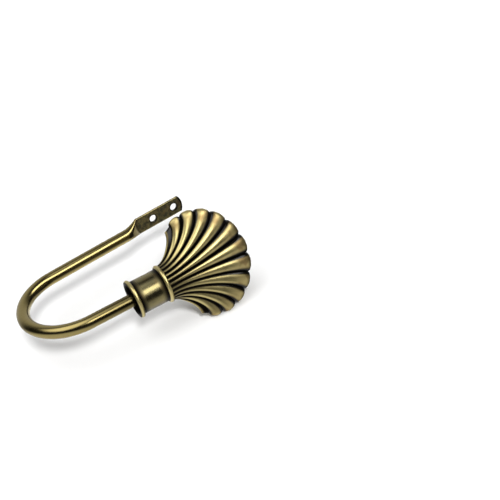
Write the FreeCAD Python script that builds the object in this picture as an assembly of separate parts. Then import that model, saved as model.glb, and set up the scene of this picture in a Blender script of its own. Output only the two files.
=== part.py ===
import FreeCAD, Part
import math
import os

# Curtain holdback: a tube bent into a hook, pressed flat at its wall end for two screws, with a cast
# scallop-shell finial screwed on its free end.
# Frame: the origin is on the wall face of the flat tab, midway between the two screw holes. X runs along
# the wall leg from the bend towards the shell, Y points into the wall, Z is up. Sizes are in millimetres.

# Tube of the hook
tube_od = 10.0
tube_wall = 1.0
bend_r = 38.0                   # radius of the bend along the tube's axis
bend_reach = 105.5              # from the middle of the hole pattern back to the centre of the bend
leg_opening = 5.4               # degrees that the front leg opens away from the wall leg

# Flat tab and its screw holes
hole_spacing = 20.0
hole_d = 6.0
tab_end_margin = 8.4            # from the outer hole's centre to the end of the tab
tab_start_margin = 14.6         # from the inner hole's centre to the foot of the pressed ramp
tab_end_sag = 2.4               # rise of the arc that closes the tab's end
ramp_length = 13.0              # over which the round tube is pressed flat
ramp_power = 1.8                # the press bites harder towards the tab

# Neck of the finial, a hollow sleeve with a bead at each end
mouth_reach = 33.4              # from the centre of the bend to the open mouth of the neck
neck_od = 25.5
neck_length = 25.6              # from the mouth to the middle of the shell's bead
bead_d = 3.2
bead_circle_d = 26.4            # circle through the middle of each bead
socket_d = 23.2
socket_depth = 18.0
seat_depth = 3.0                # recess in the socket's floor that the tube's end stands in
seat_clearance = 0.1
core_overlap = 1.0              # how far the neck's solid end reaches into the shell's root

# Screwed joint inside the neck
stud_d = 5.0
stud_length = 20.0
stud_in_finial = 10.0
stud_tip_room = 1.0             # free room in the finial's tapped hole past the stud's end
insert_length = 14.0
thread_clearance = 0.05
press_clearance = 0.02

# Shell, seen square to its face: flutes leave a round root and open into a wide fan
flutes = 24                     # round the whole shell, with one along each edge
root_d = 28.2
root_groove = 1.1               # depth of the grooves where they leave the root
fan_centre = 34.8               # from the root to the middle of the fan
fan_reach = 35.3                # from the middle of the fan to the tip of the middle flute
fan_half_width = 41.1
fan_spread = 122.0              # degrees from the middle flute to the one along each edge
fan_crowding = 0.73             # above 0 the flutes crowd towards the edges of the fan
rim_groove = 2.2                # depth of the scallops round the rim
root_pull = 0.245               # share of its length over which a flute keeps the root's direction
rim_pull = 0.265                # share of its length over which a flute keeps the rim's direction
root_lean = -0.25               # sideways lean of the edge flutes at the root, negative inwards
waist_half = 8.5                # heights that shape the face over the middle plane, root to rim
belly_half = 9.9
rim_half = 10.4
waist_groove = 1.8              # depths of the grooves at the same places
belly_groove = 3.4
rim_face_groove = 4.0
waist_at = 0.4                  # where the first two heights act, as shares of a flute's length
belly_at = 0.8
edge_fullness = 0.8             # below 1 the face stays full towards the edges of the fan
flute_shoulder = 0.06           # how far a flute's sides lean in, as a share of its width
shell_turn = 24.0               # degrees that the face leans back from upright

# Fineness of the curved pieces
ramp_steps = 4                  # sections along the pressed ramp
bead_facets = 6                 # chords round each bead
flute_facets = 6                # facets across one flute
flute_steps = 8                 # facets along one flute

# Sizes that follow from those above
tube_r = tube_od / 2
bore_r = tube_r - tube_wall
tab_thickness = 2 * tube_wall
bend_x = -bend_reach
front_y = -tube_r - 2 * bend_r
flat_start_x = -hole_spacing / 2 - tab_start_margin
ramp_start_x = flat_start_x - ramp_length
tab_end_x = hole_spacing / 2 + tab_end_margin
mouth_x = bend_x + mouth_reach
tube_end_x = mouth_x + socket_depth + seat_depth
stud_start_x = tube_end_x + stud_in_finial - stud_length
root_r = root_d / 2
bead_r = bead_d / 2
bead_circle_r = bead_circle_d / 2
neck_r = neck_od / 2
socket_r = socket_d / 2
stud_r = stud_d / 2
flute_pitch = 4 / flutes        # from crest to crest, where each face is 2 wide

ORIGIN = FreeCAD.Vector(0, 0, 0)
AXIS_X = FreeCAD.Vector(1, 0, 0)
AXIS_Y = FreeCAD.Vector(0, 1, 0)
AXIS_Z = FreeCAD.Vector(0, 0, 1)
FRONT_LEG = FreeCAD.Vector(0, front_y, 0)
BEND_CENTRE = FreeCAD.Vector(bend_x, -tube_r - bend_r, 0)


def round_bar(radius, start_x, end_x):
    """Round bar on the axis of the front leg, while that leg still lies along X."""
    return Part.makeCylinder(radius, end_x - start_x, FRONT_LEG + AXIS_X * start_x, AXIS_X)


def opened(shape):
    """Shape on the front leg, turned with that leg about the centre of the bend."""
    shape.rotate(BEND_CENTRE, AXIS_Z, -leg_opening)
    return shape


def bend_point(degrees):
    """Point on the tube's axis in the bend, at an angle counted from the end of the wall leg."""
    angle = math.radians(degrees)
    return BEND_CENTRE + FreeCAD.Vector(-math.sin(angle), math.cos(angle), 0) * bend_r


def pressed_width(height):
    """Width of the tube pressed to a height, with the length round its wall kept."""
    return height + math.pi * (tube_od - height) / 2


def round_section(x):
    """Round section of the tube, cut into the same four edges as a pressed one."""
    narrow = math.radians(4)
    turns = [narrow, math.pi / 2, math.pi - narrow, math.pi, math.pi + narrow, -math.pi / 2, -narrow, 0]
    points = [FreeCAD.Vector(x, tube_r * (math.cos(turn) - 1), tube_r * math.sin(turn)) for turn in turns]
    points.append(points[0])
    return Part.Wire([Part.Arc(*points[first:first + 3]).toShape() for first in range(0, 8, 2)])


def pressed_section(x, height):
    """Section of the pressed tube: two half rounds and two flats, with its back on the wall plane."""
    half_flat = (pressed_width(height) - height) / 2
    back_up = FreeCAD.Vector(x, 0, half_flat)
    front_up = FreeCAD.Vector(x, -height, half_flat)
    front_down = FreeCAD.Vector(x, -height, -half_flat)
    back_down = FreeCAD.Vector(x, 0, -half_flat)
    top = FreeCAD.Vector(x, -height / 2, half_flat + height / 2)
    bottom = FreeCAD.Vector(x, -height / 2, -half_flat - height / 2)
    return Part.Wire([
        Part.Arc(back_up, top, front_up).toShape(),
        Part.LineSegment(front_up, front_down).toShape(),
        Part.Arc(front_down, bottom, back_down).toShape(),
        Part.LineSegment(back_down, back_up).toShape(),
    ])


def ramp():
    """Stretch where the round tube is pressed flat."""
    sections = [round_section(ramp_start_x)]
    for step in range(1, ramp_steps + 1):
        along = step / ramp_steps
        height = tube_od - (tube_od - tab_thickness) * along ** ramp_power
        sections.append(pressed_section(ramp_start_x + ramp_length * along, height))
    return Part.makeLoft(sections, True)


def bent_tube():
    """Round tube from the ramp round the bend to its open end, bored from that end as far as the bend.

    The bend and the wall leg, which nothing opens, are solid inside.
    """
    wall_start = FreeCAD.Vector(ramp_start_x, -tube_r, 0)
    bend_degrees = 180 - leg_opening
    bend = Part.Arc(bend_point(0), bend_point(bend_degrees / 2), bend_point(bend_degrees))
    front_leg = Part.LineSegment(FRONT_LEG + AXIS_X * bend_x, FRONT_LEG + AXIS_X * tube_end_x)
    wall_leg = Part.LineSegment(wall_start, bend_point(0))
    path = Part.Wire([wall_leg.toShape(), bend.toShape(), opened(front_leg.toShape())])
    circle = Part.Circle(wall_start, -AXIS_X, tube_r)
    bar = path.makePipe(Part.Face(Part.Wire([circle.toShape()])))
    return bar.cut(opened(round_bar(bore_r, bend_x, tube_end_x)))


def tab():
    """Flat end of the tube: a plate with rolled edges, an arched end and two screw holes."""
    section = Part.Face(pressed_section(flat_start_x, tab_thickness))
    plate = section.extrude(AXIS_X * (tab_end_x - flat_start_x))
    half_width = pressed_width(tab_thickness) / 2
    end_r = (half_width ** 2 + tab_end_sag ** 2) / (2 * tab_end_sag)
    arch_centre = FreeCAD.Vector(tab_end_x - end_r, -tab_thickness, 0)
    arch = Part.makeCylinder(end_r, tab_thickness, arch_centre, AXIS_Y)
    straight_end_x = tab_end_x - tab_end_sag
    body_corner = FreeCAD.Vector(flat_start_x, -tab_thickness, -half_width)
    body = Part.makeBox(straight_end_x - flat_start_x, tab_thickness, 2 * half_width, body_corner)
    plate = plate.common(arch.fuse(body))
    for side in (-1, 1):
        hole_start = FreeCAD.Vector(side * hole_spacing / 2, -tab_thickness, 0)
        plate = plate.cut(Part.makeCylinder(hole_d / 2, tab_thickness, hole_start, AXIS_Y))
    return plate


def hook_arm():
    """Tube with its bend, its bore and its pressed tab, in one piece."""
    return bent_tube().multiFuse([ramp(), tab()]).removeSplitter()


def thread_insert():
    """Tapped bush pressed into the open end of the tube."""
    start_x = tube_end_x - insert_length
    bush = round_bar(bore_r - press_clearance, start_x, tube_end_x)
    return opened(bush.cut(round_bar(stud_r + thread_clearance, start_x, tube_end_x)))


def joining_stud():
    """Headless stud that holds the finial on the tube."""
    return opened(round_bar(stud_r, stud_start_x, stud_start_x + stud_length))


def bezier(points, t):
    """Point at t on the curve that the control points shape."""
    while len(points) > 1:
        points = [start + (end - start) * t for start, end in zip(points, points[1:])]
    return points[0]


def face_point(across, along, depth):
    """Point of the shell's front face in the finial's own frame, with the root's middle at the origin.

    across runs from -1 at the lower edge to 1 at the upper one, along from 0 at the root to 1 on the rim.
    depth is 0 on the crests of the flutes and 1 in the bottom of the grooves. Past the edges the point is
    on the back face.
    """
    if abs(across) > 1:
        front = face_point(math.copysign(2, across) - across, along, depth)
        return FreeCAD.Vector(front.x, -front.y, front.z)
    root = root_r - depth * root_groove
    profile = bezier([
        FreeCAD.Vector(0, root, 0),
        FreeCAD.Vector(waist_at, waist_half - depth * waist_groove, 0),
        FreeCAD.Vector(belly_at, belly_half - depth * belly_groove, 0),
        FreeCAD.Vector(1, rim_half - depth * rim_face_groove, 0),
        FreeCAD.Vector(1, 0, 0),
    ], along)
    share, height = profile.x, profile.y
    fan_angle = math.radians(fan_spread) * math.sin(fan_crowding * across) / math.sin(fan_crowding)
    outward = FreeCAD.Vector(math.cos(fan_angle), 0, math.sin(fan_angle))
    start = FreeCAD.Vector(0, 0, root * math.sin(across * math.pi / 2))
    rim_x = fan_centre + (fan_reach - depth * rim_groove) * outward.x
    rim_z = (fan_half_width - depth * rim_groove) * outward.z
    end = FreeCAD.Vector(rim_x, 0, rim_z)
    length = (end - start).Length
    leaving = FreeCAD.Vector(1, 0, root_lean * across) * (root_pull * length)
    point = bezier([start, start + leaving, end - outward * (rim_pull * length), end], share)
    fullness = 1 + (edge_fullness - 1) * share
    point.y = -height * max(0, math.cos(across * math.pi / 2)) ** fullness
    return point


def flute_point(flute, step, along):
    """Point on one flute, counted from the lower edge, with steps from its lower groove to its upper one."""
    middle = flute * flute_pitch - 1
    lower = face_point(middle - flute_pitch / 2, along, 1)
    crest = face_point(middle, along, 0)
    upper = face_point(middle + flute_pitch / 2, along, 1)
    side = (1 - math.cos(math.pi * step / flute_facets)) / 2
    rise = (crest - (lower + upper) * 0.5) * (4 / 3)
    lean = (upper - lower) * flute_shoulder
    return bezier([lower, lower + rise + lean, upper + rise - lean, upper], side)


def facet(*corners):
    """Flat face with three corners."""
    return Part.Face(Part.makePolygon(corners + corners[:1]))


def fluted_shell():
    """Scallop fan with flutes on both faces, closed at its round root."""
    lower_edge = flute_facets // 2
    columns = range(lower_edge, lower_edge + flutes // 2 * flute_facets + 1)
    rows = []
    for step in range(flute_steps + 1):
        along = step / flute_steps
        rows.append([flute_point(*divmod(column, flute_facets), along) for column in columns])
    front = []
    for inner, outer in zip(rows, rows[1:]):
        for column in range(len(inner) - 1):
            a, b, c, d = inner[column], inner[column + 1], outer[column + 1], outer[column]
            if 2 * column < len(inner) - 1:
                front += [facet(a, b, d), facet(b, c, d)]
            else:
                front += [facet(a, b, c), facet(a, c, d)]
    back = [face.mirror(ORIGIN, AXIS_Y) for face in front]
    ring = rows[0] + [FreeCAD.Vector(p.x, -p.y, p.z) for p in rows[0][-2:0:-1]]
    root = Part.Face(Part.makePolygon(ring + ring[:1]))
    skin = Part.makeShell(front + back + [root])
    skin.sewShape()
    return Part.makeSolid(skin)


def bead(centre_x, start, end):
    """Points round a bead's section, between two angles counted from straight out towards the shell."""
    points = []
    for step in range(bead_facets + 1):
        angle = start + (end - start) * step / bead_facets
        points.append((centre_x + bead_r * math.sin(angle), bead_circle_r + bead_r * math.cos(angle)))
    return points


def neck():
    """Turned sleeve with its two beads, its socket and the seat for the tube, mouth at x = 0."""
    lip_angle = math.acos((socket_r - bead_circle_r) / bead_r)
    foot_angle = math.acos((neck_r - bead_circle_r) / bead_r)
    core_angle = math.pi - math.asin(core_overlap / bead_r)
    core_x = neck_length + core_overlap
    seat_x = socket_depth + seat_depth
    seat_r = tube_r + seat_clearance
    outline = bead(bead_r, -lip_angle, foot_angle) + bead(neck_length, -foot_angle, core_angle)
    outline += [(core_x, 0), (seat_x, 0), (seat_x, seat_r), (socket_depth, seat_r), (socket_depth, socket_r)]
    corners = [FreeCAD.Vector(x, radius, 0) for x, radius in outline]
    section = Part.Face(Part.makePolygon(corners + corners[:1]))
    return section.revolve(ORIGIN, AXIS_X, 360)


def shell_finial():
    """Cast finial: the neck and the shell in one piece, with the tapped hole for the stud."""
    shell = fluted_shell()
    shell.translate(AXIS_X * neck_length)
    finial = neck().fuse(shell)
    finial.rotate(ORIGIN, AXIS_X, -shell_turn)
    finial.translate(FRONT_LEG + AXIS_X * mouth_x)
    hole_end_x = tube_end_x + stud_in_finial + stud_tip_room
    return opened(finial.cut(round_bar(stud_r + thread_clearance, tube_end_x, hole_end_x)))


PIECES = {
    "hook_arm": hook_arm,
    "thread_insert": thread_insert,
    "joining_stud": joining_stud,
    "shell_finial": shell_finial,
}

os.makedirs("parts", exist_ok=True)
for name, make in PIECES.items():
    solids = make().Solids
    if len(solids) != 1 or not solids[0].isValid():
        raise ValueError(f"{name} is not one sound solid")
    solids[0].exportStep(f"parts/{name}.step")
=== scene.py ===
import math

import bmesh
import bpy
from bpy.props import FloatProperty, FloatVectorProperty, IntProperty, PointerProperty
from mathutils import Matrix, Vector


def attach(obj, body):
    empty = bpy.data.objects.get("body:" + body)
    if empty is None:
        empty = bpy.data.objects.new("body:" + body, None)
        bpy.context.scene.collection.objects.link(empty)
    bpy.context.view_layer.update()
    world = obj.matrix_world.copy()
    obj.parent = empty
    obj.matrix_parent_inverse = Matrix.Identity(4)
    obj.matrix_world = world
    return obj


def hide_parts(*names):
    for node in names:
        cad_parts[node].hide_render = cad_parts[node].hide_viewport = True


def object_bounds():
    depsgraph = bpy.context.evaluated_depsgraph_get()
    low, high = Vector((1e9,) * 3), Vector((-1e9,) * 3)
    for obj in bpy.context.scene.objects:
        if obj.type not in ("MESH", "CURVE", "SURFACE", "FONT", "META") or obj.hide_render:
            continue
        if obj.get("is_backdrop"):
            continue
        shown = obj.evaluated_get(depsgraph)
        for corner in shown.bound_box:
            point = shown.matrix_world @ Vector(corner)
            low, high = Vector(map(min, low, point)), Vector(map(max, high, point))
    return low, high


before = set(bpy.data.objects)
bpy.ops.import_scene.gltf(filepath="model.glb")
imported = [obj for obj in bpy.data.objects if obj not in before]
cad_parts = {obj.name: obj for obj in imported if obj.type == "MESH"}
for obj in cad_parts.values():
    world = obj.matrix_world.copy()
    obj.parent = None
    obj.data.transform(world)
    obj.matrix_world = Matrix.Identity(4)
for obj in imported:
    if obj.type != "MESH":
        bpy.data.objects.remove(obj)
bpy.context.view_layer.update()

bl_info = {
    "name": "Curtain holdback",
    "version": (1, 0, 0),
    "blender": (4, 5, 0),
    "location": "3D View > Sidebar > Holdback",
    "description": "Dresses a bent tube holdback with a fluted scallop shell in antique brass",
    "category": "Object",
}

MILLI = 0.001
QUARTER_TURN = math.pi / 2
MERGE_DISTANCE = 2e-6
SHARP_ANGLE = math.radians(32)
SENSOR_WIDTH = 36.0
NOISE_MIDDLE = 0.5


def length(name, millimetres, description):
    """A size in metres, given in millimetres."""
    return FloatProperty(
        name=name, description=description, default=millimetres * MILLI, precision=5, unit="LENGTH")


def angle(name, degrees, description):
    """An angle, given in degrees."""
    return FloatProperty(
        name=name, description=description, default=math.radians(degrees), unit="ROTATION")


def share(name, value, description):
    """A plain number without a unit."""
    return FloatProperty(name=name, description=description, default=value, precision=3)


def count(name, value, description):
    """A whole number of one or more."""
    return IntProperty(name=name, description=description, default=value, min=1)


def tone(name, colour, description):
    """A colour in linear light."""
    return FloatVectorProperty(
        name=name, description=description, default=colour, size=3, min=0, max=1, subtype="COLOR")


class HookSizes(bpy.types.PropertyGroup):
    """Sizes of the bent tube and its flat tab."""

    tube_diameter: length("Tube diameter", 10.0, "Outside of the round tube")
    bend_radius: length("Bend radius", 38.0, "Radius of the bend along the tube's axis")
    bend_reach: length("Bend reach", 105.48, "From the middle of the screw holes back to the bend's centre")
    leg_opening: angle("Leg opening", 5.4, "How far the front leg opens away from the wall leg")
    front_length: length("Front length", 54.4, "From the bend to the tube's end in the neck")
    tab_thickness: length("Tab thickness", 2.0, "Thickness of the pressed end")
    tab_end: length("Tab end", 18.4, "From the middle of the screw holes to the tip of the tab")
    tab_sag: length("Tab sag", 2.4, "Rise of the arc that closes the tab")
    edge_round: length("Edge rounding", 0.4, "Rounding round the tab's cut end")
    flat_start: length("Flat start", 24.6, "From the middle of the screw holes back to the foot of the ramp")
    ramp_length: length("Ramp length", 13.0, "Over which the round tube is pressed flat")
    ramp_power: share("Ramp power", 1.8, "How late the press bites, above 1 towards the tab")
    hole_spacing: length("Hole spacing", 20.0, "Between the two screw holes")
    hole_diameter: length("Hole diameter", 6.0, "Clear width of a screw hole")
    hole_chamfer: length("Hole chamfer", 0.25, "Broken edge round each screw hole")
    rounds: count("Rounds", 72, "Facets round the tube")


class NeckSizes(bpy.types.PropertyGroup):
    """Sizes of the hollow neck of the casting."""

    mouth_reach: length("Mouth reach", 33.4, "From the bend's centre to the open mouth")
    outside: length("Neck diameter", 25.5, "Outside of the sleeve between its beads")
    neck_length: length("Neck length", 25.6, "From the mouth to the middle of the shell's bead")
    bead: length("Bead thickness", 3.2, "Thickness of the two beads")
    bead_circle: length("Bead circle", 26.4, "Circle through the middle of each bead")
    socket: length("Socket diameter", 23.2, "Inside of the sleeve")
    socket_depth: length("Socket depth", 18.0, "Depth of the sleeve's hollow")
    seat: length("Seat diameter", 10.2, "Recess that the tube's end stands in")
    seat_depth: length("Seat depth", 3.0, "Depth of that recess")
    tapped_hole: length("Tapped hole", 5.1, "Hole for the joining stud")
    core_overlap: length("Core overlap", 1.0, "How far the solid core reaches into the shell")
    rounds: count("Rounds", 160, "Facets round the neck")


class ShellSizes(bpy.types.PropertyGroup):
    """Sizes of the fluted scallop shell."""

    flutes: count("Flutes", 24, "Flutes round the whole shell, one of them along each edge")
    facets: count("Facets", 32, "Facets across one flute")
    steps: count("Steps", 90, "Facets along one flute")
    root_radius: length("Root radius", 14.1, "Radius of the round root on the crests")
    root_groove: length("Root groove", 1.1, "Depth of the grooves at the root")
    fan_centre: length("Fan centre", 34.8, "From the root to the middle of the fan")
    fan_reach: length("Fan reach", 35.2, "From the middle of the fan to the tip of the middle flute")
    fan_half_width: length("Fan half width", 40.97, "From the middle of the fan to its widest flutes")
    fan_spread: angle("Fan spread", 122.0, "From the middle flute to the one along each edge")
    crowding: share("Fan crowding", 0.73, "Above 0 the flutes crowd towards the edges of the fan")
    rim_groove: length("Rim groove", 2.2, "Depth of the scallops round the rim")
    root_pull: share("Root pull", 0.245, "Share of a flute that keeps the root's direction")
    rim_pull: share("Rim pull", 0.265, "Share of a flute that keeps the rim's direction")
    root_lean: share("Root lean", -0.25, "Sideways lean of the edge flutes at the root")
    waist_half: length("Waist half", 8.5, "First height that shapes the face over the middle plane")
    belly_half: length("Belly half", 9.9, "Second height that shapes the face")
    rim_half: length("Rim half", 10.4, "Third height that shapes the face")
    waist_groove: length("Waist groove", 1.8, "Depth of the grooves at the first height")
    belly_groove: length("Belly groove", 3.4, "Depth of the grooves at the second height")
    rim_face_groove: length("Rim face groove", 4.0, "Depth of the grooves at the third height")
    waist_at: share("Waist at", 0.4, "Where the first height acts along a flute")
    belly_at: share("Belly at", 0.8, "Where the second height acts along a flute")
    edge_fullness: share("Edge fullness", 0.8, "Below 1 the face stays full towards its edges")
    shoulder: share("Flute shoulder", 0.06, "How far a flute's sides lean in")
    edge_start: share("Edge start", 0.95, "Share across the face past which the trim of the edges acts")
    edge_trim: share("Edge trim", 0.08, "Share by which the flute along each edge stops short of the rim")
    turn: angle("Shell turn", 24.0, "How far the face leans back from upright")


class BrassFinish(bpy.types.PropertyGroup):
    """Colours of the antique brass and of the hidden steel."""

    # Also the colour of the painted highlight along the tab's long edges.
    bright: tone("Bright brass", (0.46, 0.385, 0.170), "Rubbed brass on crests and beads")
    body: tone("Toned brass", (0.275, 0.226, 0.095), "Toned brass on the open surfaces")
    drawn: tone("Drawn brass", (0.245, 0.196, 0.076), "Warmer toned brass of the tube")
    dull: tone("Dull brass", (0.095, 0.087, 0.050), "Darkened brass of the flat tab and the neck")
    umber: tone("Umber wear", (0.20, 0.125, 0.050), "Warm brown patches in the toning")
    # Black patina in grooves and corners; the same colour paints shade in the socket, behind the shell's
    # bead, at the tab's tip and on the tube near the neck.
    black: tone("Black patina", (0.004, 0.003, 0.002), "Toning left in grooves and corners")
    steel: tone("Steel", (0.52, 0.52, 0.50), "Stud and bush inside the neck")
    steel_lines: tone("Steel lines", (0.30, 0.30, 0.29), "Turning lines on the stud and the bush")


class WearAndPaintedLightSizes(bpy.types.PropertyGroup):
    """Reach of the toning, painted shade and painted highlight on the tube, its tab and the neck."""

    dull_before: length("Dull before", 3.0, "How far before the ramp's foot the tab's tone starts")
    dull_after: length("Dull after", 1.0, "How far past the ramp's foot the tab's tone is full")
    # Painted shade on the tube towards the neck's mouth.
    mouth_fade: length("Mouth fade", 55.0, "Over which the tube darkens towards the neck's mouth")
    hole_full: length("Hole full", 0.2, "Width of the full black round a screw hole")
    hole_fade: length("Hole fade", 1.4, "From a screw hole to the end of its black")
    # Painted shade at the tab's rounded tip.
    tip_fade: length("Tip fade", 2.4, "From the tip of the tab to the end of its black")
    tip_full: length("Tip full", 0.8, "Width of the full black at the tip of the tab")
    # Painted highlight along the tab's long edges.
    edge_fade: length("Edge fade", 1.4, "From the tab's long edges to the end of their rubbing")
    edge_full: length("Edge full", 0.3, "Width of the full rubbing along the tab's long edges")
    # The corners' black is patina with painted contact shade; the socket's, the root's and the lip's black
    # is painted shade.
    corner_fade: length("Corner fade", 3.4, "Over which the black in the neck's corners fades")
    corner_strength: share("Corner strength", 1.4, "Above 1 the corners stay black before the fade")
    corner_rise: share("Corner rise", 0.3, "Share of a bead's height that the corners' black climbs")
    socket_lip: length("Socket lip", 0.2, "How far the socket's black runs past its wall")
    root_start: length("Root start", 0.5, "From the middle of the shell's bead to the black behind it")
    root_rise: share("Root rise", 0.2, "Share of the bead's height that this black climbs")
    lip_start: angle("Lip start", 40.0, "Round the mouth's bead from its top to where its black starts")
    lip_fade: angle("Lip fade", 30.0, "From there to where the black is full")


class StageSettings(bpy.types.PropertyGroup):
    """Floor, light and camera."""

    floor: tone("Floor", (0.80, 0.80, 0.80), "Pale floor")
    floor_grain: share("Floor grain", 0.985, "Brightness of the floor's darker grain against the rest")
    floor_half: length("Floor half", 4000.0, "From the middle of the floor to its edges")
    floor_gap: length("Floor gap", 0.2, "Between the part's lowest point and the floor")
    room: share("Room", 0.02, "Brightness of the dark room round the stage")
    ceiling: share("Ceiling", 2.9, "Brightness of the ceiling above the bend")
    sweep: share("Sweep", 0.8, "Brightness of the pale sweep behind the part")
    ground: share("Ground", 1.2, "Brightness that the metal mirrors from below on the left")
    camera_azimuth: angle("Camera azimuth", -26.52, "Direction of the camera round the part")
    camera_elevation: angle("Camera elevation", 34.24, "Height of the camera over the horizon")
    camera_roll: angle("Camera roll", -15.56, "Tilt of the picture")
    camera_position: FloatVectorProperty(
        name="Camera position", description="Place of the camera", size=3, subtype="TRANSLATION",
        default=(-0.2332, -0.6035, 0.3788))
    camera_lens: FloatProperty(
        name="Camera lens", description="Focal length on a 36 mm sensor", default=65.63)


class HoldbackSettings(bpy.types.PropertyGroup):
    """All settings of the holdback."""

    hook: PointerProperty(type=HookSizes)
    neck: PointerProperty(type=NeckSizes)
    shell: PointerProperty(type=ShellSizes)
    finish: PointerProperty(type=BrassFinish)
    # Toning, painted shade and painted highlight.
    wear: PointerProperty(type=WearAndPaintedLightSizes)
    stage: PointerProperty(type=StageSettings)


class Wire:
    """One output of a node, so that a tree can be written as arithmetic on values and vectors."""

    def __init__(self, tree, socket):
        self.tree = tree
        self.socket = socket

    @classmethod
    def add(cls, tree, kind, settings=None, inputs=None, output=0):
        """Adds a node, sets it up, feeds its sockets and returns one of its outputs."""
        node = tree.nodes.new(kind)
        for name, value in (settings or {}).items():
            setattr(node, name, value)
        for key, value in (inputs or {}).items():
            socket = cls.find(node.inputs, key)
            if isinstance(value, Wire):
                tree.links.new(value.socket, socket)
            elif isinstance(value, str) or not hasattr(socket.default_value, "__len__"):
                socket.default_value = value
            elif isinstance(value, (int, float)):
                socket.default_value = (value,) * len(socket.default_value)
            else:
                socket.default_value = (*value, 1.0)[:len(socket.default_value)]
        return cls(tree, cls.find(node.outputs, output))

    @staticmethod
    def find(sockets, key):
        """A socket by its number, its identifier or its name."""
        if isinstance(key, int):
            return sockets[key]
        for socket in sockets:
            if socket.identifier == key:
                return socket
        return sockets[key]

    def math(self, operation, *others):
        """Math or Vector Math node on this wire and other wires or numbers."""
        terms = (self, *others)
        kind = "ShaderNodeMath"
        if any(isinstance(term, Wire) and term.socket.type == "VECTOR" for term in terms):
            kind = "ShaderNodeVectorMath"
        return Wire.add(self.tree, kind, {"operation": operation}, dict(enumerate(terms)))

    def measure(self, operation, *others):
        """Number that a Vector Math node makes of this vector and others."""
        terms = dict(enumerate((self, *others)))
        return Wire.add(self.tree, "ShaderNodeVectorMath", {"operation": operation}, terms, "Value")

    def flipped(self, operation, left):
        """Math node with a number on the left of this wire."""
        kind = "ShaderNodeVectorMath" if self.socket.type == "VECTOR" else "ShaderNodeMath"
        return Wire.add(self.tree, kind, {"operation": operation}, {0: left, 1: self})

    def __add__(self, other):
        return self.math("ADD", other)

    def __sub__(self, other):
        return self.math("SUBTRACT", other)

    def __mul__(self, other):
        return self.math("MULTIPLY", other)

    def __truediv__(self, other):
        return self.math("DIVIDE", other)

    def __pow__(self, other):
        return self.math("POWER", other)

    def __radd__(self, other):
        return self.flipped("ADD", other)

    def __rsub__(self, other):
        return self.flipped("SUBTRACT", other)

    def __rmul__(self, other):
        return self.flipped("MULTIPLY", other)

    def __rtruediv__(self, other):
        return self.flipped("DIVIDE", other)

    def __neg__(self):
        return self * -1.0

    def part(self, axis):
        """One component of a vector, by its number."""
        return Wire.add(self.tree, "ShaderNodeSeparateXYZ", None, {0: self}, axis)

    def held(self):
        """This wire, held between 0 and 1."""
        return self.math("MAXIMUM", 0.0).math("MINIMUM", 1.0)

    def step(self, low, high):
        """Smooth rise from 0 at low to 1 at high."""
        return Wire.add(
            self.tree, "ShaderNodeMapRange", {"interpolation_type": "SMOOTHSTEP"},
            {"Value": self, "From Min": low, "From Max": high, "To Min": 0.0, "To Max": 1.0})

    def blend(self, first, second):
        """Colour between two colours, by this wire."""
        return Wire.add(
            self.tree, "ShaderNodeMix", {"data_type": "RGBA"},
            {"Factor_Float": self, "A_Color": first, "B_Color": second}, "Result_Color")

    def between(self, first, second):
        """Point between two points, by this wire."""
        return Wire.add(
            self.tree, "ShaderNodeMix", {"data_type": "VECTOR"},
            {"Factor_Float": self, "A_Vector": first, "B_Vector": second}, "Result_Vector")

    def noise(self, scale, detail=2.0, roughness=0.5):
        """Noise value over this vector."""
        return Wire.add(
            self.tree, "ShaderNodeTexNoise", None,
            {"Vector": self, "Scale": scale, "Detail": detail, "Roughness": roughness})


def point(tree, x, y, z):
    """Vector from three wires or numbers."""
    return Wire.add(tree, "ShaderNodeCombineXYZ", None, {0: x, 1: y, 2: z})


def bezier(points, t):
    """Point at t on the curve that the control points shape."""
    while len(points) > 1:
        points = [t.between(start, end) for start, end in zip(points, points[1:])]
    return points[0]


def geometry_tree(name, sizes):
    """Geometry tree with a named input for each size, and a wire for each of them."""
    tree = bpy.data.node_groups.new(name, "GeometryNodeTree")
    tree.interface.new_socket("Geometry", in_out="INPUT", socket_type="NodeSocketGeometry")
    tree.interface.new_socket("Geometry", in_out="OUTPUT", socket_type="NodeSocketGeometry")
    for key, value in sizes.items():
        kind = "NodeSocketInt" if isinstance(value, int) else "NodeSocketFloat"
        if isinstance(value, bpy.types.Material):
            kind = "NodeSocketMaterial"
        tree.interface.new_socket(key, in_out="INPUT", socket_type=kind)
    entry = tree.nodes.new("NodeGroupInput")
    wires = {socket.name: Wire(tree, socket) for socket in entry.outputs if socket.name}
    return tree, wires


def run_tree(tree, obj, sizes):
    """Plain mesh that the tree makes on an object with these sizes. The modifier is taken off again."""
    modifier = obj.modifiers.new(tree.name, "NODES")
    modifier.node_group = tree
    for item in tree.interface.items_tree:
        if item.in_out == "INPUT" and item.name in sizes:
            modifier[item.identifier] = sizes[item.name]
    depsgraph = bpy.context.evaluated_depsgraph_get()
    mesh = bpy.data.meshes.new_from_object(obj.evaluated_get(depsgraph))
    obj.modifiers.remove(modifier)
    return mesh


def end_tree(tree, geometry, material):
    """Closes a tree with smooth faces, real instances and a material."""
    geometry = Wire.add(tree, "GeometryNodeSetShadeSmooth", None, {"Geometry": geometry})
    geometry = Wire.add(tree, "GeometryNodeRealizeInstances", None, {"Geometry": geometry})
    geometry = Wire.add(tree, "GeometryNodeSetMaterial", None, {"Geometry": geometry, "Material": material})
    leave = tree.nodes.new("NodeGroupOutput")
    tree.links.new(geometry.socket, leave.inputs[0])


def store(tree, geometry, name, value):
    """Geometry with a value kept on its points under a name."""
    kind = "FLOAT_VECTOR" if value.socket.type == "VECTOR" else "FLOAT"
    return Wire.add(
        tree, "GeometryNodeStoreNamedAttribute", {"data_type": kind, "domain": "POINT"},
        {"Geometry": geometry, "Name": name, "Value": value})


def numbers(group):
    """The plain values of a property group, by name."""
    return {key: getattr(group, key) for key in group.__annotations__}


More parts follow.
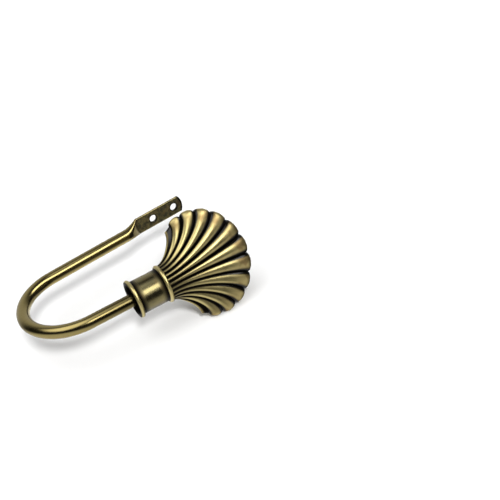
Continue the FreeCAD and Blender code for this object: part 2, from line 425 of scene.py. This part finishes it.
def face_point(tree, size, across, along, depth):
    """Point of the shell's front face, with the middle of its root at the origin.

    across runs from -1 at the lower edge to 1 at the upper one, along from 0 at the root to 1 on the rim.
    depth is 0 on the crests of the flutes and 1 in the bottom of the grooves. Past the edges the point is
    on the back face.
    """
    past = across.math("ABSOLUTE") - 1.0
    across = across.math("SIGN") * (1.0 - past.math("ABSOLUTE"))
    root = size["root_radius"] - size["root_groove"] * depth
    waist = size["waist_half"] - size["waist_groove"] * depth
    belly = size["belly_half"] - size["belly_groove"] * depth
    rim = size["rim_half"] - size["rim_face_groove"] * depth
    profile = bezier([
        point(tree, 0.0, root, 0.0),
        point(tree, size["waist_at"], waist, 0.0),
        point(tree, size["belly_at"], belly, 0.0),
        point(tree, 1.0, rim, 0.0),
        (1.0, 0.0, 0.0),
    ], along)
    crowded = (size["crowding"] * across).math("SINE")
    fan_angle = size["fan_spread"] * crowded / size["crowding"].math("SINE")
    outward = point(tree, fan_angle.math("COSINE"), 0.0, fan_angle.math("SINE"))
    quarter = across * QUARTER_TURN
    start = point(tree, 0.0, 0.0, root * quarter.math("SINE"))
    cut = size["rim_groove"] * depth
    reach = point(tree, size["fan_reach"] - cut, 0.0, size["fan_half_width"] - cut)
    end = outward * reach + point(tree, size["fan_centre"], 0.0, 0.0)
    span = (end - start).measure("LENGTH")
    leaving = point(tree, 1.0, 0.0, size["root_lean"] * across) * (span * size["root_pull"])
    trim = size["edge_trim"] * across.math("ABSOLUTE").step(size["edge_start"], 1.0)
    run = profile.part(0) * (1.0 - trim)
    plan = bezier([start, start + leaving, end - outward * (span * size["rim_pull"]), end], run)
    fullness = 1.0 + (size["edge_fullness"] - 1.0) * profile.part(0)
    height = profile.part(1) * quarter.math("COSINE").math("MAXIMUM", 0.0) ** fullness
    return plan + point(tree, 0.0, past.math("SIGN") * height, 0.0)


def shell_tree(sizes):
    """Geometry tree of the scallop: one face of flutes by its rule, its mirror image, and the two joined.

    Each flute is a cubic curve from groove to groove. Its middle stands three quarters of the way up to its
    two inner points, so these are lifted by four thirds of the crest's height.
    """
    lift = 4 / 3
    # Added before a flute is counted, so that rounding can't drop a point into the flute before its own.
    hair = 0.0001
    tree, size = geometry_tree("fluted_shell", sizes)
    pitches = size["flutes"] * 0.5
    across_count = pitches * size["facets"] + 1
    along_count = size["steps"] + 1
    grid = Wire.add(
        tree, "GeometryNodeMeshGrid", None,
        {"Size X": 1.0, "Size Y": 1.0, "Vertices X": across_count, "Vertices Y": along_count}, "Mesh")
    spot = Wire(tree, grid.socket.node.outputs["UV Map"])
    ahead = spot.part(0) * pitches + 0.5
    flute = (ahead + hair).math("FLOOR")
    turn = (ahead - flute) * math.pi
    side = (1.0 - turn.math("COSINE")) * 0.5
    along = spot.part(1)
    pitch = 2.0 / pitches
    lower = face_point(tree, size, (flute - 0.5) * pitch - 1.0, along, 1.0)
    crest = face_point(tree, size, flute * pitch - 1.0, along, 0.0)
    upper = face_point(tree, size, (flute + 0.5) * pitch - 1.0, along, 1.0)
    rise = (crest - (lower + upper) * 0.5) * lift
    lean = (upper - lower) * size["shoulder"]
    place = bezier([lower, lower + rise + lean, upper + rise - lean, upper], side)
    crown = turn.math("SINE")
    front = Wire.add(tree, "GeometryNodeSetPosition", None, {"Geometry": grid, "Position": place})
    front = store(tree, front, "crown", crown)
    front = store(tree, front, "along", along)
    back = Wire.add(tree, "GeometryNodeTransform", None, {"Geometry": front, "Scale": (1.0, -1.0, 1.0)})
    back = Wire.add(tree, "GeometryNodeFlipFaces", None, {"Mesh": back})
    join = Wire.add(tree, "GeometryNodeJoinGeometry", None, {"Geometry": front})
    tree.links.new(back.socket, join.socket.node.inputs[0])
    shell = Wire.add(
        tree, "GeometryNodeMergeByDistance", None, {"Geometry": join, "Distance": MERGE_DISTANCE})
    end_tree(tree, shell, size["Material"])
    return tree


def hook_tree(sizes):
    """Geometry tree of the hook: a round tube along the path, pressed flat over its wall end."""
    tree, size = geometry_tree("pressed_tube", sizes)
    radius = size["tube_diameter"] * 0.5
    path = size["Geometry"]
    travel = Wire.add(tree, "GeometryNodeSplineParameter", None, None, "Length")
    capture = Wire.add(
        tree, "GeometryNodeCaptureAttribute", {"domain": "POINT"}, {"Geometry": path}, "Geometry")
    node = capture.socket.node
    node.capture_items.new("FLOAT", "Travel")
    tree.links.new(travel.socket, node.inputs["Travel"])
    circle = Wire.add(
        tree, "GeometryNodeCurvePrimitiveCircle", {"mode": "RADIUS"},
        {"Resolution": size["rounds"], "Radius": radius}, "Curve")
    tube = Wire.add(tree, "GeometryNodeCurveToMesh", None, {"Curve": capture, "Profile Curve": circle})
    place = Wire.add(tree, "GeometryNodeInputPosition")
    x, y, z = place.part(0), place.part(1) + radius, place.part(2)
    tube = store(tree, tube, "straight", point(tree, Wire(tree, node.outputs["Travel"]), y, z))
    ramp_start = -size["flat_start"] - size["ramp_length"]
    pressed = ((x - ramp_start) / size["ramp_length"]).held()
    squeeze = size["tube_diameter"] - size["tab_thickness"]
    height = size["tube_diameter"] - squeeze * pressed ** size["ramp_power"]
    half = height * 0.5
    flat = (radius - half) * QUARTER_TURN
    turned = radius * y.math("ABSOLUTE").math("ARCTAN2", z.math("ABSOLUTE"))
    rounded = half * QUARTER_TURN
    bow = turned.math("MINIMUM", rounded) / half
    over = (turned - rounded).math("MAXIMUM", 0.0)
    out = half * bow.math("SINE")
    wide = flat + half * bow.math("COSINE") - over
    rest = ((size["tab_end"] - x) / size["edge_round"]).held()
    closing = (1.0 - (1.0 - rest) ** 2.0).math("MAXIMUM", 0.0) ** 0.5
    wide = wide - size["edge_round"] * (1.0 - closing)
    half_thick = size["tab_thickness"] * 0.5
    half_width = half_thick + (radius - half_thick) * QUARTER_TURN
    end_radius = (half_width ** 2.0 + size["tab_sag"] ** 2.0) / (size["tab_sag"] * 2.0)
    arch = end_radius - (end_radius ** 2.0 - wide ** 2.0) ** 0.5
    near = ((x - size["tab_end"]) / (size["tab_sag"] * 2.0) + 1.0).math("MAXIMUM", 0.0)
    new_place = point(
        tree, x - arch * near, y.math("SIGN") * out * closing - half, z.math("SIGN") * wide)
    on_wall = y.math("GREATER_THAN", -size["tube_diameter"])
    selected = x.math("GREATER_THAN", ramp_start) * on_wall
    tube = Wire.add(
        tree, "GeometryNodeSetPosition", None,
        {"Geometry": tube, "Selection": selected, "Position": new_place})
    tube = Wire.add(
        tree, "GeometryNodeMergeByDistance", None, {"Geometry": tube, "Distance": MERGE_DISTANCE})
    end_tree(tree, tube, size["Material"])
    return tree


def bend_centre(hook):
    """Point that the tube is bent about."""
    return Vector((-hook.bend_reach, -hook.tube_diameter / 2 - hook.bend_radius, 0))


def hook_path(hook):
    """Points of the tube's axis, from the tip of the tab round the bend to the end in the neck."""
    radius = hook.tube_diameter / 2
    flat_x = -hook.flat_start
    ramp_x = flat_x - hook.ramp_length
    bend_x = -hook.bend_reach
    opening = hook.leg_opening
    end_steps, tab_steps, ramp_steps, leg_steps, bend_steps = 8, 40, 48, 20, 96
    edge_x = hook.tab_end - hook.edge_round
    wall = [hook.tab_end - hook.edge_round * (1 - math.cos(QUARTER_TURN * step / end_steps))
            for step in range(end_steps)]
    wall += [edge_x + (flat_x - edge_x) * step / tab_steps for step in range(tab_steps)]
    wall += [flat_x + (ramp_x - flat_x) * step / ramp_steps for step in range(ramp_steps)]
    wall += [ramp_x + (bend_x - ramp_x) * step / leg_steps for step in range(leg_steps)]
    points = [Vector((x, -radius, 0)) for x in wall]
    for step in range(bend_steps + 1):
        turn = (math.pi - opening) * step / bend_steps
        outward = Vector((-math.sin(turn), math.cos(turn), 0))
        points.append(bend_centre(hook) + outward * hook.bend_radius)
    foot = points[-1]
    ahead = Vector((math.cos(opening), -math.sin(opening), 0))
    for step in range(1, leg_steps + 1):
        points.append(foot + ahead * (hook.front_length * step / leg_steps))
    return points


def mesh_object(name, mesh):
    """Object in the scene for a finished mesh, at the origin."""
    obj = bpy.data.objects.new(name, mesh)
    bpy.context.scene.collection.objects.link(obj)
    return obj


def lathe(name, profile, rounds, capped=False):
    """Mesh of a profile of (along, radius) points turned about X, with its faces outwards.

    The profile closes on itself, or with capped the two ends are closed by flat faces.
    """
    work = bmesh.new()
    turns = [2 * math.pi * step / rounds for step in range(rounds)]
    rings = []
    for along, radius in profile:
        rings.append([work.verts.new((along, radius * math.cos(t), radius * math.sin(t))) for t in turns])
    if capped:
        work.faces.new(rings[0])
        work.faces.new(rings[-1])
    for ring, following in zip(rings, rings[1:] if capped else rings[1:] + rings[:1]):
        for step in range(rounds):
            after = (step + 1) % rounds
            work.faces.new((ring[step], ring[after], following[after], following[step]))
    for face in work.faces:
        face.smooth = True
    bmesh.ops.recalc_face_normals(work, faces=work.faces)
    mesh = bpy.data.meshes.new(name)
    work.to_mesh(mesh)
    work.free()
    return mesh


def close_holes(mesh):
    """Fills every open edge loop of a mesh with a face."""
    work = bmesh.new()
    work.from_mesh(mesh)
    edges = [edge for edge in work.edges if edge.is_boundary]
    filled = bmesh.ops.holes_fill(work, edges=edges, sides=0)
    for face in filled["faces"]:
        face.smooth = False
    bmesh.ops.recalc_face_normals(work, faces=work.faces)
    work.to_mesh(mesh)
    work.free()


def arc(centre_x, centre_radius, radius, start, end, steps):
    """Points round a bead's section, at angles counted from straight out towards the shell."""
    angles = [start + (end - start) * step / steps for step in range(steps + 1)]
    return [(centre_x + radius * math.sin(a), centre_radius + radius * math.cos(a)) for a in angles]


def neck_profile(neck):
    """Section of the neck: bead, sleeve, bead, core, tapped hole, seat and socket."""
    bead_radius = neck.bead / 2
    circle_radius = neck.bead_circle / 2
    lip = math.acos(max(-1.0, (neck.socket / 2 - circle_radius) / bead_radius))
    foot = math.acos((neck.outside / 2 - circle_radius) / bead_radius)
    core = math.pi - math.asin(neck.core_overlap / bead_radius)
    core_x = neck.neck_length + neck.core_overlap
    seat_x = neck.socket_depth + neck.seat_depth
    sleeve_start = bead_radius + bead_radius * math.sin(foot)
    sleeve_end = neck.neck_length - bead_radius * math.sin(foot)
    sleeve_steps, bead_steps = 24, 28
    profile = arc(bead_radius, circle_radius, bead_radius, -lip, foot, bead_steps)
    for step in range(1, sleeve_steps):
        x = sleeve_start + (sleeve_end - sleeve_start) * step / sleeve_steps
        profile.append((x, neck.outside / 2))
    profile += arc(neck.neck_length, circle_radius, bead_radius, -foot, core, bead_steps)
    profile += [
        (core_x, neck.tapped_hole / 2), (seat_x, neck.tapped_hole / 2), (seat_x, neck.seat / 2),
        (neck.socket_depth, neck.seat / 2), (neck.socket_depth, neck.socket / 2)]
    return profile


def principled(name):
    """New node material, its shader and its object coordinates."""
    material = bpy.data.materials.new(name)
    material.use_nodes = True
    tree = material.node_tree
    shader = tree.nodes["Principled BSDF"]
    coords = Wire.add(tree, "ShaderNodeTexCoord", None, None, "Object")
    return material, shader, coords


def feed(shader, **wires):
    """Links wires to a shader's sockets."""
    for name, wire in wires.items():
        socket = shader.inputs[name.replace("_", " ")]
        wire.tree.links.new(wire.socket, socket)


def attribute(tree, name, output="Fac"):
    """Value that the piece's own points carry."""
    return Wire.add(tree, "ShaderNodeAttribute", {"attribute_name": name}, None, output)


def bump(height, strength, distance):
    """Normal from a height between 0 and 1 that stands for a distance in metres."""
    return Wire.add(
        height.tree, "ShaderNodeBump", None, {"Height": height, "Strength": strength, "Distance": distance})


def limited(value):
    """The number, held between 0 and 1."""
    return max(0.0, min(1.0, value))


def fluted_brass(finish):
    """Shell's antique brass: rubbed crests; umber and painted shade on tips; patina and painted shade in
    grooves, sheen near the rim.
    """
    material, shader, coords = principled("fluted_antique_brass")
    crown = attribute(coords.tree, "crown")
    along = attribute(coords.tree, "along")
    mottle = coords.noise(scale=90.0)
    fine = coords.noise(scale=700.0)
    root = 1.0 - along.step(0.0, 0.45)
    tips = along.step(0.48, 0.66)
    rubbed = (crown + (mottle - NOISE_MIDDLE) * 0.4).step(0.55, 1.0)
    # Black patina in the grooves, widened up the flanks as painted shade and wider still towards the root.
    black = 1.0 - (crown + (fine - NOISE_MIDDLE) * 0.03 - root * 0.145).step(0.775, 0.97)
    sheen = black * along.step(0.32, 0.62)
    patches = coords.noise(scale=140.0).step(0.48, 0.66) * (0.15 + tips * 0.5)
    colour = rubbed.blend(finish.body, finish.bright)
    colour = patches.blend(colour, finish.umber)
    # Umber toning at the tips, there also painted shade where the rim turns away.
    colour = (tips * 0.26).blend(colour, finish.umber)
    colour = black.blend(colour, finish.black)
    rough = 0.29 + tips * 0.13 + (mottle - NOISE_MIDDLE) * 0.10 + black * 0.2
    feed(shader, Base_Color=colour, Roughness=rough, Coat_Weight=sheen * 0.4)
    shader.inputs["Metallic"].default_value = 1.0
    shader.inputs["Coat Roughness"].default_value = 0.16
    feed(shader, Normal=bump(fine * 0.2 + mottle * 0.8, strength=0.012, distance=0.0004))
    return material


def turned_brass(finish):
    """Antique brass of the neck: turning lines, bright beads, patina and painted shade in corners and
    socket.
    """
    material, shader, coords = principled("turned_antique_brass")
    recess = attribute(coords.tree, "recess")
    worn = attribute(coords.tree, "worn")
    mottle = (coords * (0.35, 1.0, 1.0)).noise(scale=150.0, detail=4.0, roughness=0.6)
    lines = (coords * (1.0, 0.04, 0.04)).noise(scale=2600.0)
    patches = coords.noise(scale=150.0).step(0.5, 0.75) * 0.5
    colour = (0.16 + mottle.step(0.3, 0.7) * 0.42).blend(finish.dull, finish.body)
    colour = (patches * (1.0 - worn)).blend(colour, finish.umber)
    colour = worn.step(0.1, 0.7).blend(colour, finish.bright)
    # Black patina with painted contact shade in the corners beside the beads; painted shade in the socket,
    # on the mouth's lip and behind the shell's bead.
    colour = recess.blend(colour, finish.black)
    rough = 0.22 + (lines - NOISE_MIDDLE) * 0.08 + recess * 0.35 + worn * 0.14
    feed(shader, Base_Color=colour, Roughness=rough)
    shader.inputs["Metallic"].default_value = 1.0
    feed(shader, Normal=bump(lines, strength=0.02, distance=0.0003))
    return material


def tube_brass(finish, wear, hook, neck):
    """Antique brass of the tube: long drawn streaks, painted shade towards the neck, and a duller, blotched
    tab.
    """
    material, shader, coords = principled("drawn_antique_brass")
    straight = attribute(coords.tree, "straight", "Vector")
    streaks = (straight * (0.06, 1.0, 1.0)).noise(scale=900.0, detail=3.0, roughness=0.55)
    mottle = straight.noise(scale=120.0, detail=4.0, roughness=0.6)
    fine = coords.noise(scale=900.0, detail=3.0, roughness=0.6)
    x = coords.part(0)
    across = coords.part(2).math("ABSOLUTE")
    flat = x.step(-hook.flat_start - wear.dull_before, -hook.flat_start + wear.dull_after)
    tint = (mottle - NOISE_MIDDLE) * 1.2 + (streaks - NOISE_MIDDLE) * 0.8 + NOISE_MIDDLE
    tint = tint.step(0.0, 1.0)
    colour = (tint * 0.5).blend(finish.drawn, finish.body)
    colour = (mottle.step(0.58, 0.72) * 0.35).blend(colour, finish.umber)
    bend_length = (math.pi - hook.leg_opening) * hook.bend_radius
    mouth = hook.tab_end + hook.bend_reach + bend_length + neck.mouth_reach
    # Painted shade: the tube darkens towards the neck's mouth.
    painted_mouth_shade = straight.part(0).step(mouth - wear.mouth_fade, mouth)
    colour = (painted_mouth_shade * 0.5).blend(colour, finish.black)
    half_width = hook.tab_thickness / 2 + (hook.tube_diameter - hook.tab_thickness) * math.pi / 4
    hole_radius = hook.hole_diameter / 2
    from_hole = x.math("ABSOLUTE") - hook.hole_spacing / 2
    to_hole = point(coords.tree, from_hole, 0.0, across).measure("LENGTH")
    rim = 1.0 - to_hole.step(hole_radius + wear.hole_full, hole_radius + wear.hole_fade)
    # Painted shade on the tab's rounded tip.
    tip = x + across * across * (hook.tab_sag / half_width ** 2)
    tip = tip.step(hook.tab_end - wear.tip_fade, hook.tab_end - wear.tip_full)
    # Painted highlight along the tab's long edges.
    edge = across.step(half_width - wear.edge_fade, half_width - wear.edge_full)
    blotch = coords.noise(scale=330.0, detail=4.0, roughness=0.65)
    tab = blotch.step(0.36, 0.66).blend(finish.dull, finish.body)
    tab = (coords.noise(scale=210.0).step(0.50, 0.66) * 0.4).blend(tab, finish.umber)
    # Painted highlight along the tab's edges, in the bright brass.
    tab = (edge * 0.15).blend(tab, finish.bright)
    # Black round the screw holes, and painted shade at the tab's tip.
    tab = (rim.math("MAXIMUM", tip) * 0.9).blend(tab, finish.black)
    colour = flat.blend(colour, tab)
    rough = 0.20 + (streaks - NOISE_MIDDLE) * 0.16 + flat * (0.12 + blotch * 0.16 - edge * 0.12)
    feed(shader, Base_Color=colour, Roughness=rough)
    shader.inputs["Metallic"].default_value = 1.0
    feed(shader, Normal=bump(streaks * 0.6 + fine * 0.4, strength=0.04, distance=0.0003))
    return material


def plain_steel(finish):
    """Turned steel of the hidden stud and bush."""
    material, shader, coords = principled("turned_steel")
    lines = (coords * (1.0, 0.05, 0.05)).noise(scale=3000.0)
    colour = (lines * 0.4).blend(finish.steel, finish.steel_lines)
    feed(shader, Base_Color=colour, Roughness=0.3 + lines * 0.2)
    shader.inputs["Metallic"].default_value = 1.0
    return material


class HOLDBACK_OT_hook(bpy.types.Operator):
    """Make the bent tube with its pressed tab and screw holes"""

    bl_idname = "holdback.hook"
    bl_label = "Hook"

    def execute(self, context):
        settings = context.scene.holdback
        hook = settings.hook
        material = tube_brass(settings.finish, settings.wear, hook, settings.neck)
        obj = mesh_object("bent_tube", self.tube(hook, material))
        obj.data = self.drilled(context, obj, hook)
        obj.data.set_sharp_from_angle(angle=SHARP_ANGLE)
        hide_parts("hook_arm")
        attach(obj, "root")
        return {"FINISHED"}

    def tube(self, hook, material):
        """Mesh of the tube with its pressed end, closed at both ends."""
        sizes = numbers(hook)
        sizes["Material"] = material
        curve = bpy.data.curves.new("hook_path", "CURVE")
        curve.dimensions = "3D"
        points = hook_path(hook)
        spline = curve.splines.new("POLY")
        spline.points.add(len(points) - 1)
        for spot, place in zip(spline.points, points):
            spot.co = (*place, 1.0)
        path = mesh_object("hook_path", curve)
        mesh = run_tree(hook_tree(sizes), path, sizes)
        bpy.data.objects.remove(path)
        close_holes(mesh)
        return mesh

    def drilled(self, context, obj, hook):
        """Mesh of the tube with its screw holes cut and their edges broken.

        The modifiers that cut them are taken off again.
        """
        thick = hook.tab_thickness
        hole_radius = hook.hole_diameter / 2
        flare = hook.hole_chamfer
        wide_radius = hole_radius + 2 * flare
        profile = [
            (-flare, wide_radius), (flare, hole_radius),
            (thick - flare, hole_radius), (thick + flare, wide_radius)]
        cutters = []
        for side in (-1, 1):
            cutter = lathe("screw_hole", profile, hook.rounds, capped=True)
            place = Matrix.Translation((side * hook.hole_spacing / 2, 0, 0))
            cutter.transform(place @ Matrix.Rotation(-QUARTER_TURN, 4, "Z"))
            cutters.append(mesh_object("screw_hole", cutter))
            cut = obj.modifiers.new("screw_hole", "BOOLEAN")
            cut.operation = "DIFFERENCE"
            cut.solver = "EXACT"
            cut.object = cutters[-1]
        depsgraph = context.evaluated_depsgraph_get()
        mesh = bpy.data.meshes.new_from_object(obj.evaluated_get(depsgraph))
        obj.modifiers.clear()
        for cutter in cutters:
            bpy.data.objects.remove(cutter)
        return mesh


class HOLDBACK_OT_finial(bpy.types.Operator):
    """Make the casting: the fluted shell and the hollow neck with its beads"""

    bl_idname = "holdback.finial"
    bl_label = "Shell finial"

    def execute(self, context):
        settings = context.scene.holdback
        hook, neck, shell = settings.hook, settings.neck, settings.shell
        to_leg = Matrix.Translation((neck.mouth_reach, -hook.bend_radius, 0))
        opened = Matrix.Translation(bend_centre(hook)) @ Matrix.Rotation(-hook.leg_opening, 4, "Z")
        lean = Matrix.Rotation(-shell.turn, 4, "X")
        sizes = numbers(shell)
        sizes["Material"] = fluted_brass(settings.finish)
        blank = mesh_object("shell_blank", bpy.data.meshes.new("shell_blank"))
        fan = run_tree(shell_tree(sizes), blank, sizes)
        bpy.data.objects.remove(blank)
        close_holes(fan)
        fan.transform(Matrix.Translation((neck.neck_length, 0, 0)))
        sleeve = self.sleeve(neck, settings.wear, turned_brass(settings.finish))
        mesh = self.joined(fan, sleeve)
        mesh.transform(opened @ to_leg @ lean)
        obj = mesh_object("shell_casting", mesh)
        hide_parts("shell_finial")
        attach(obj, "root")
        return {"FINISHED"}

    def sleeve(self, neck, wear, material):
        """Mesh of the neck, with its black patina and painted shade and its worn beads marked on its points.
        """
        mesh = lathe("neck", neck_profile(neck), neck.rounds)
        recess = mesh.attributes.new("recess", "FLOAT", "POINT")
        worn = mesh.attributes.new("worn", "FLOAT", "POINT")
        bead_radius = neck.bead / 2
        circle_radius = neck.bead_circle / 2
        outside_radius = neck.outside / 2
        for vertex in mesh.vertices:
            x = vertex.co.x
            radius = math.hypot(vertex.co.y, vertex.co.z)
            # Painted shade inside the socket.
            inside = radius < neck.socket / 2 + wear.socket_lip
            rise = (radius - outside_radius) / (circle_radius + bead_radius - outside_radius)
            worn.data[vertex.index].value = limited(rise) ** 0.5
            # Black in the corners beside the beads: patina with painted contact shade.
            gap = min(abs(x - neck.bead), abs(x - neck.neck_length + bead_radius))
            fade = limited(wear.corner_strength - gap / wear.corner_fade)
            corner = fade if rise < wear.corner_rise else 0.0
            # Painted shade behind the shell's bead.
            shade_behind_bead = float(x > neck.neck_length + wear.root_start and rise < wear.root_rise)
            # Painted shade on the mouth's bead where it turns into the socket.
            lip = -math.atan2(x - bead_radius, radius - circle_radius) if x < bead_radius else 0.0
            lip = limited((lip - wear.lip_start) / wear.lip_fade)
            recess.data[vertex.index].value = 1.0 if inside else max(corner, shade_behind_bead, lip)
        mesh.materials.append(material)
        return mesh

    def joined(self, fan, sleeve):
        """One mesh of the two, each with its own material."""
        parts = [mesh_object("part", fan), mesh_object("part", sleeve)]
        with bpy.context.temp_override(active_object=parts[0], selected_editable_objects=parts):
            bpy.ops.object.join()
        mesh = parts[0].data
        bpy.data.objects.remove(parts[0])
        return mesh


class HOLDBACK_OT_joint(bpy.types.Operator):
    """Give the hidden bush and stud their steel"""

    bl_idname = "holdback.joint"
    bl_label = "Hidden joint"

    def execute(self, context):
        steel = plain_steel(context.scene.holdback.finish)
        for name in ("thread_insert", "joining_stud"):
            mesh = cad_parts[name].data
            mesh.materials.clear()
            mesh.materials.append(steel)
        return {"FINISHED"}


def direction(turn, rise):
    """Unit vector from the part towards an azimuth, counted from the front, and a height."""
    return Vector((math.sin(turn) * math.cos(rise), -math.cos(turn) * math.cos(rise), math.sin(rise)))


class HOLDBACK_OT_stage(bpy.types.Operator):
    """Set the pale floor, the soft lights and the camera"""

    bl_idname = "holdback.stage"
    bl_label = "Stage"

    def execute(self, context):
        stage = context.scene.holdback.stage
        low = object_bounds()[0].z
        self.floor(stage, low)
        middle = (-0.06, -0.06, 0.0)
        shell = (-0.01, -0.09, 0.0)
        wall_leg = (-0.05, -0.01, 0.0)
        self.softbox(
            "front_softbox", target=middle, turn=42, rise=47, distance=3.2, width=4.2, height=1.35,
            radiance=6.4)
        self.softbox(
            "shell_softbox", target=shell, turn=-9, rise=27, distance=1.0, width=0.32, height=0.32,
            radiance=4.6, only="shell_casting")
        self.softbox(
            "shell_reflector", target=shell, turn=35, rise=-22, distance=1.0, width=0.80, height=0.70,
            radiance=1.0, only="shell_casting")
        self.softbox(
            "tube_reflector", target=wall_leg, turn=114, rise=-53, distance=1.0, width=1.3, height=1.3,
            radiance=0.7, only="bent_tube")
        self.key("key_light", turn=-9, rise=46, width=13, strength=2.85)
        self.key("fill_light", turn=0, rise=90, width=120, strength=0.15)
        self.sky(context, stage)
        self.camera(context, stage)
        context.scene.view_settings.view_transform = "Standard"
        return {"FINISHED"}

    def sky(self, context, stage):
        """Dark room with a bright ceiling over the bend, a pale sweep behind and a pale ground on the left.

        Where the camera looks past the floor, the room is plain white.
        """
        world = bpy.data.worlds.new("studio")
        context.scene.world = world
        world.use_nodes = True
        tree = world.node_tree
        background = tree.nodes["Background"]
        background.inputs["Color"].default_value = (1.0, 1.0, 1.0, 1.0)
        aim = Wire.add(tree, "ShaderNodeTexCoord", None, None, "Generated")
        ceiling = self.lobe(aim, middle=(-0.32, -0.08, 0.94), start=0.80, full=0.96)
        sweep = self.lobe(aim, middle=(0.28, 0.96, 0.0), start=0.35, full=0.85)
        ground = self.lobe(aim, middle=(-0.55, -0.20, -0.81), start=0.35, full=0.75)
        strength = stage.ceiling * ceiling + stage.sweep * sweep + stage.ground * ground
        seen = Wire.add(tree, "ShaderNodeLightPath", None, None, "Is Camera Ray")
        strength = (strength + stage.room) * (1.0 - seen) + seen
        tree.links.new(strength.socket, background.inputs["Strength"])

    def lobe(self, aim, middle, start, full):
        """Soft bright patch of the room round a direction, by the cosine of the angle to it."""
        return aim.measure("DOT_PRODUCT", middle).step(start, full)

    def floor(self, stage, low):
        """Wide flat floor just under the part."""
        work = bmesh.new()
        bmesh.ops.create_grid(work, x_segments=8, y_segments=8, size=stage.floor_half)
        bmesh.ops.translate(work, verts=work.verts, vec=(0, 0, low - stage.floor_gap))
        mesh = bpy.data.meshes.new("floor")
        work.to_mesh(mesh)
        work.free()
        material, shader, coords = principled("pale_floor")
        grain = coords.noise(scale=40.0)
        shade = tuple(stage.floor_grain * value for value in stage.floor)
        feed(shader, Base_Color=grain.blend(shade, stage.floor))
        shader.inputs["Roughness"].default_value = 0.8
        mesh.materials.append(material)
        floor = mesh_object("floor", mesh)
        floor.visible_glossy = False
        floor.visible_shadow = False
        floor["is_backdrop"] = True

    def softbox(self, name, target, turn, rise, distance, width, height, radiance, only=None):
        """Soft rectangular light that faces a target, at an azimuth and a height in degrees.

        With only, it lights that piece and nothing else.
        """
        lamp = bpy.data.lights.new(name, "AREA")
        lamp.shape = "RECTANGLE"
        lamp.size = width
        lamp.size_y = height
        lamp.energy = radiance * math.pi * width * height
        obj = bpy.data.objects.new(name, lamp)
        back = direction(math.radians(turn), math.radians(rise))
        obj.location = Vector(target) + back * distance
        obj.rotation_euler = (-back).to_track_quat("-Z", "Y").to_euler()
        obj.visible_diffuse = False
        obj.visible_camera = False
        if only:
            lit = bpy.data.collections.new(name)
            lit.objects.link(bpy.data.objects[only])
            obj.light_linking.receiver_collection = lit
        bpy.context.scene.collection.objects.link(obj)

    def key(self, name, turn, rise, width, strength):
        """Distant soft light that lights the floor evenly, with its width in degrees."""
        lamp = bpy.data.lights.new(name, "SUN")
        lamp.energy = strength
        lamp.angle = math.radians(width)
        obj = bpy.data.objects.new(name, lamp)
        back = direction(math.radians(turn), math.radians(rise))
        obj.rotation_euler = (-back).to_track_quat("-Z", "Y").to_euler()
        obj.visible_glossy = False
        bpy.context.scene.collection.objects.link(obj)

    def camera(self, context, stage):
        """Camera at the picture's angle."""
        lens = bpy.data.cameras.new("camera")
        lens.lens = stage.camera_lens
        lens.sensor_width = SENSOR_WIDTH
        back = direction(stage.camera_azimuth, stage.camera_elevation)
        look = (-back).to_track_quat("-Z", "Y").to_matrix().to_4x4()
        obj = bpy.data.objects.new("camera", lens)
        roll = Matrix.Rotation(stage.camera_roll, 4, "Z")
        obj.matrix_world = Matrix.Translation(stage.camera_position) @ look @ roll
        context.scene.collection.objects.link(obj)
        context.scene.camera = obj


OPERATORS = (HOLDBACK_OT_hook, HOLDBACK_OT_finial, HOLDBACK_OT_joint, HOLDBACK_OT_stage)


class HOLDBACK_PT_panel(bpy.types.Panel):
    """Sizes, colours and steps of the holdback"""

    bl_idname = "HOLDBACK_PT_panel"
    bl_label = "Holdback"
    bl_space_type = "VIEW_3D"
    bl_region_type = "UI"
    bl_category = "Holdback"

    def draw(self, context):
        for operator in OPERATORS:
            self.layout.operator(operator.bl_idname)
        settings = context.scene.holdback
        for name in settings.__annotations__:
            box = self.layout.box()
            box.label(text=name.capitalize())
            group = getattr(settings, name)
            for key in group.__annotations__:
                box.prop(group, key)


CLASSES = (
    HookSizes, NeckSizes, ShellSizes, BrassFinish, WearAndPaintedLightSizes, StageSettings, HoldbackSettings, *OPERATORS,
    HOLDBACK_PT_panel)


def register():
    for cls in CLASSES:
        bpy.utils.register_class(cls)
    bpy.types.Scene.holdback = PointerProperty(type=HoldbackSettings)


def unregister():
    del bpy.types.Scene.holdback
    for cls in reversed(CLASSES):
        bpy.utils.unregister_class(cls)


def main():
    register()
    bpy.ops.holdback.hook()
    bpy.ops.holdback.finial()
    bpy.ops.holdback.joint()
    bpy.ops.holdback.stage()


if __name__ == "__main__":
    main()
